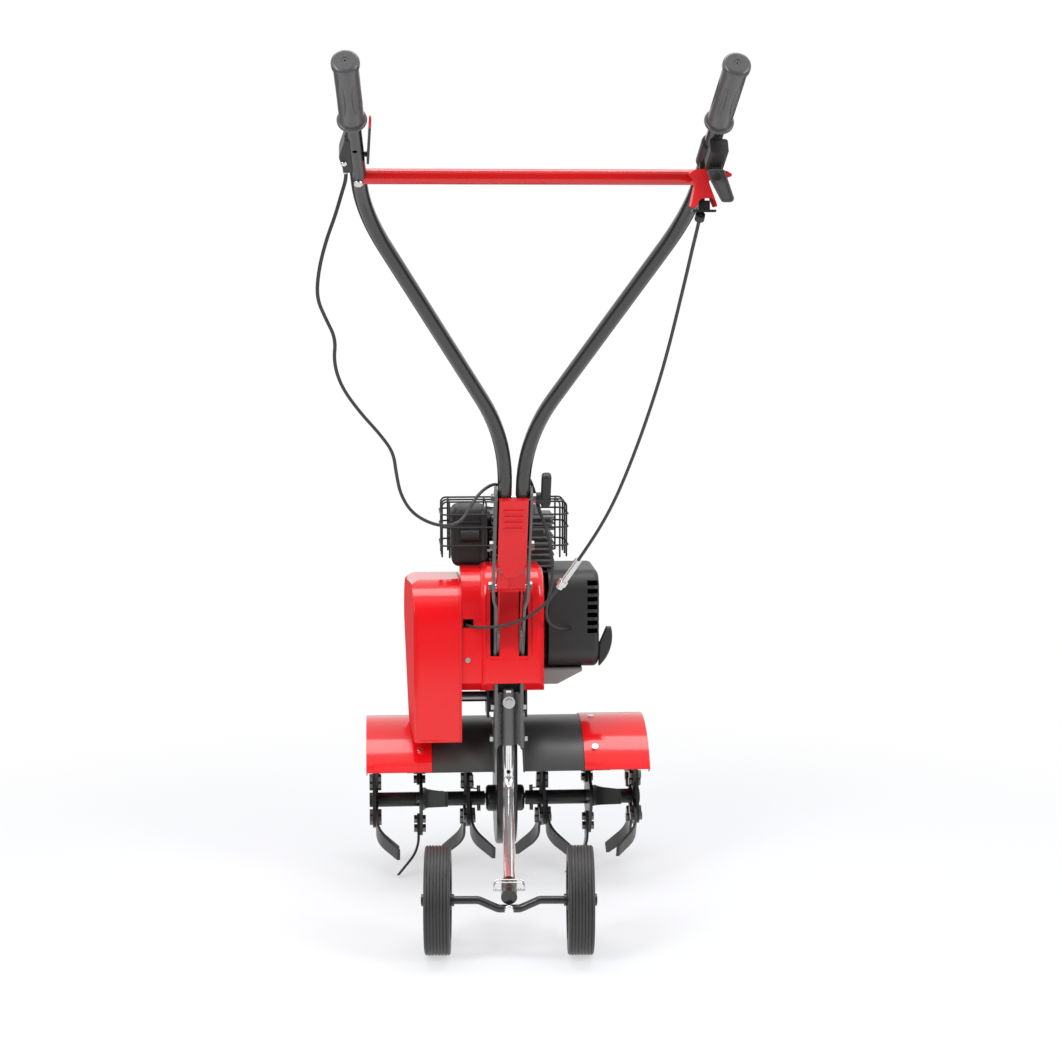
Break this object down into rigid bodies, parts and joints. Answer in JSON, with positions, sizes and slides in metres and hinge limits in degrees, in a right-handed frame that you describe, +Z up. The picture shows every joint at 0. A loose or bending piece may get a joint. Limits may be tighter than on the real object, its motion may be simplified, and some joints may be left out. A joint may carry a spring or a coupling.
{
  "type": "mini tiller",
  "caption": "Walk-behind petrol mini tiller: engine over a tine rotor with belt and chain drive, curved guard, folding handlebar with levers and a sliding strut with transport wheels.",
  "frame": {"origin": "on the ground under the middle of the machine's box, cords left out", "axes": "+X to the right of a person at the handles, +Y forwards, +Z up"},
  "size_m": [0.5491, 1.0072, 1.2691],
  "materials": {
    "red_paint": "gloss",
    "black_paint": "satin",
    "grey_paint": "satin",
    "zinc": "bright zinc",
    "chrome": "bright",
    "steel": "machined",
    "cast_aluminium": "cast",
    "engine_plastic": "fine grain",
    "red_plastic": "moulded",
    "black_plastic": "moulded",
    "grey_plastic": "moulded",
    "grip_rubber": "matt",
    "wheel_plastic": "moulded",
    "belt_rubber": "matt",
    "cord_sleeve": "matt"
  },
  "bodies": {
    "chassis": {"chain_case_left": "black_paint", "chain_case_right": "black_paint", "drive_chain": "steel", "bearings": "steel", "engine_bed": "black_paint", "rear_bracket": "black_paint", "chassis_bolts": "zinc", "tine_guard": "grey_paint", "fender_left": "red_paint", "fender_right": "red_paint", "hood": "red_paint", "belt_cover": "red_paint", "v_belt": "belt_rubber", "crankcase": "cast_aluminium", "cylinder": "cast_aluminium", "spark_plug": "engine_plastic", "muffler": "black_paint", "muffler_guard": "black_paint", "blower_housing": "engine_plastic", "carburettor": "cast_aluminium", "air_cleaner": "engine_plastic", "fuel_tank": "engine_plastic", "height_sector": "black_paint"},
    "rotor": {"tine_shaft": "steel", "large_sprocket": "steel", "hub_left": "black_paint", "hub_right": "black_paint", "tines_left": "black_paint", "tines_right": "black_paint", "rotor_pins": "zinc"},
    "countershaft": {"countershaft": "steel", "driven_pulley": "steel"},
    "crank": {"crankshaft": "steel", "engine_pulley": "steel", "flywheel": "cast_aluminium"},
    "idler_arm": {"idler_arm": "steel"},
    "idler_pulley": {"idler_pulley": "steel"},
    "fuel_cap": {"fuel_cap": "engine_plastic"},
    "starter_handle": {"starter_handle": "engine_plastic"},
    "handlebar": {"column_plates": "black_paint", "column_bolts": "zinc", "handle_tube_left": "black_paint", "handle_tube_right": "black_paint", "crossbar": "red_paint", "grip_left": "grip_rubber", "grip_right": "grip_rubber", "control_clamps": "black_plastic", "stop_cord": "cord_sleeve", "clutch_cable": "cord_sleeve", "cable_adjuster": "zinc", "throttle_cable": "cord_sleeve"},
    "release_slide": {"release_slide": "red_plastic"},
    "clamp_lever": {"clamp_lever": "black_plastic"},
    "clutch_lever": {"clutch_lever": "red_plastic"},
    "throttle_lever": {"throttle_lever": "grey_plastic"},
    "stop_lever": {"stop_lever": "black_paint"},
    "strut": {"wheel_strut": "chrome", "wheel_axle": "black_paint"},
    "wheel_left": {"wheel_left": "wheel_plastic"},
    "wheel_right": {"wheel_right": "wheel_plastic"}
  },
  "joints": [
    {"name": "rotor_spin", "type": "hinge", "parent": "chassis", "child": "rotor", "pos_m": [-0.00029, 0.35365, 0.125], "axis": [1, 0, 0], "continuous": true, "deforming": ["drive_chain"]},
    {"name": "countershaft_spin", "type": "hinge", "parent": "chassis", "child": "countershaft", "pos_m": [-0.00029, 0.31365, 0.306], "axis": [1, 0, 0], "continuous": true},
    {"name": "crank_spin", "type": "hinge", "parent": "chassis", "child": "crank", "pos_m": [-0.00029, 0.36865, 0.44], "axis": [1, 0, 0], "continuous": true},
    {"name": "idler_swing", "type": "hinge", "parent": "chassis", "child": "idler_arm", "pos_m": [-0.08829, 0.34778, 0.40872], "axis": [-1, 0, 0], "range_deg": [0, 7.72]},
    {"name": "idler_spin", "type": "hinge", "parent": "idler_arm", "child": "idler_pulley", "pos_m": [-0.10529, 0.33239, 0.37729], "axis": [1, 0, 0], "continuous": true},
    {"name": "fuel_cap_turn", "type": "hinge", "parent": "chassis", "child": "fuel_cap", "pos_m": [0.03971, 0.47065, 0.5363], "axis": [0, 0, 1], "range_deg": [0, 180]},
    {"name": "starter_pull", "type": "slide", "parent": "chassis", "child": "starter_handle", "axis": [0, -1, 0], "range_m": [0, 0.4], "stiffness_N_per_m": 12, "springref_m": -0.3},
    {"name": "handle_height", "type": "hinge", "parent": "chassis", "child": "handlebar", "pos_m": [-0.00029, 0.25865, 0.36675], "axis": [1, 0, 0], "range_deg": [-5, 3], "deforming": ["stop_cord", "clutch_cable", "cable_adjuster", "throttle_cable"]},
    {"name": "release_slide", "type": "slide", "parent": "handlebar", "child": "release_slide", "axis": [0, -0.4695, 0.8829], "range_m": [0, 0.012], "stiffness_N_per_m": 400, "springref_m": -0.01},
    {"name": "clamp_lever_swing", "type": "hinge", "parent": "handlebar", "child": "clamp_lever", "pos_m": [0.02901, 0.1056, 0.65459], "axis": [1, 0, 0], "range_deg": [0, 100]},
    {"name": "clutch_lever", "type": "hinge", "parent": "handlebar", "child": "clutch_lever", "pos_m": [0.23048, -0.3388, 1.1235], "axis": [-1, 0, 0], "range_deg": [0, 25], "stiffness_Nm_per_rad": 0.8, "springref_deg": -11.46},
    {"name": "throttle_lever", "type": "hinge", "parent": "handlebar", "child": "throttle_lever", "pos_m": [0.23749, -0.3603, 1.1225], "axis": [0, -1, 0], "range_deg": [0, 35]},
    {"name": "stop_lever", "type": "hinge", "parent": "handlebar", "child": "stop_lever", "pos_m": [-0.21701, -0.32917, 1.15168], "axis": [0.9986, -0.0446, 0.0278], "range_deg": [0, 25], "stiffness_Nm_per_rad": 0.15, "springref_deg": -17.19},
    {"name": "strut_height", "type": "slide", "parent": "chassis", "child": "strut", "axis": [0, 0, 1], "range_m": [-0.06, 0]},
    {"name": "wheel_left_spin", "type": "hinge", "parent": "strut", "child": "wheel_left", "pos_m": [-0.12397, -0.08549, 0.08], "axis": [0.9984, -0.0558, 0], "continuous": true},
    {"name": "wheel_right_spin", "type": "hinge", "parent": "strut", "child": "wheel_right", "pos_m": [0.0857, -0.09721, 0.08], "axis": [0.9984, -0.0558, 0], "continuous": true}
  ],
  "couplings": [
    {"joint": "countershaft_spin", "follows": "rotor_spin", "ratio": 3.3},
    {"joint": "idler_swing", "follows": "clutch_lever", "ratio": 0.30869}
  ]
}
